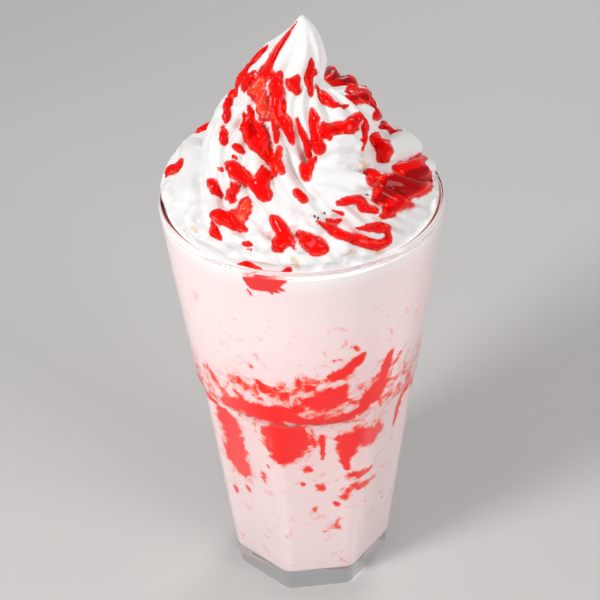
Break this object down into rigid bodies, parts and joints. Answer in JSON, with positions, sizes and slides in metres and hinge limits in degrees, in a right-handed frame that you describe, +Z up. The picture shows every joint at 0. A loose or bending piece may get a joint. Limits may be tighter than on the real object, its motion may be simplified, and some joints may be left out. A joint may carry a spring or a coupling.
{
  "type": "strawberry frappe",
  "caption": "Strawberry frappe in a tall faceted tumbler, heaped with piped whipped cream and strawberry drizzle.",
  "frame": {"origin": "middle of the glass's flat underside", "axes": "+Z up along the glass, -Y towards the front"},
  "size_m": [0.0892, 0.0892, 0.2145],
  "materials": {
    "glass": "clear polished",
    "pale_shake": "wet, pale pink",
    "strawberry_shake": "wet, marbled with strawberry",
    "cream": "soft satin",
    "drizzle": "wet gloss"
  },
  "bodies": {
    "root": {"glass": "glass", "frappe_lower": "pale_shake", "strawberry_layer": "strawberry_shake", "frappe_upper": "pale_shake", "whipped_cream": "cream"}
  },
  "joints": []
}
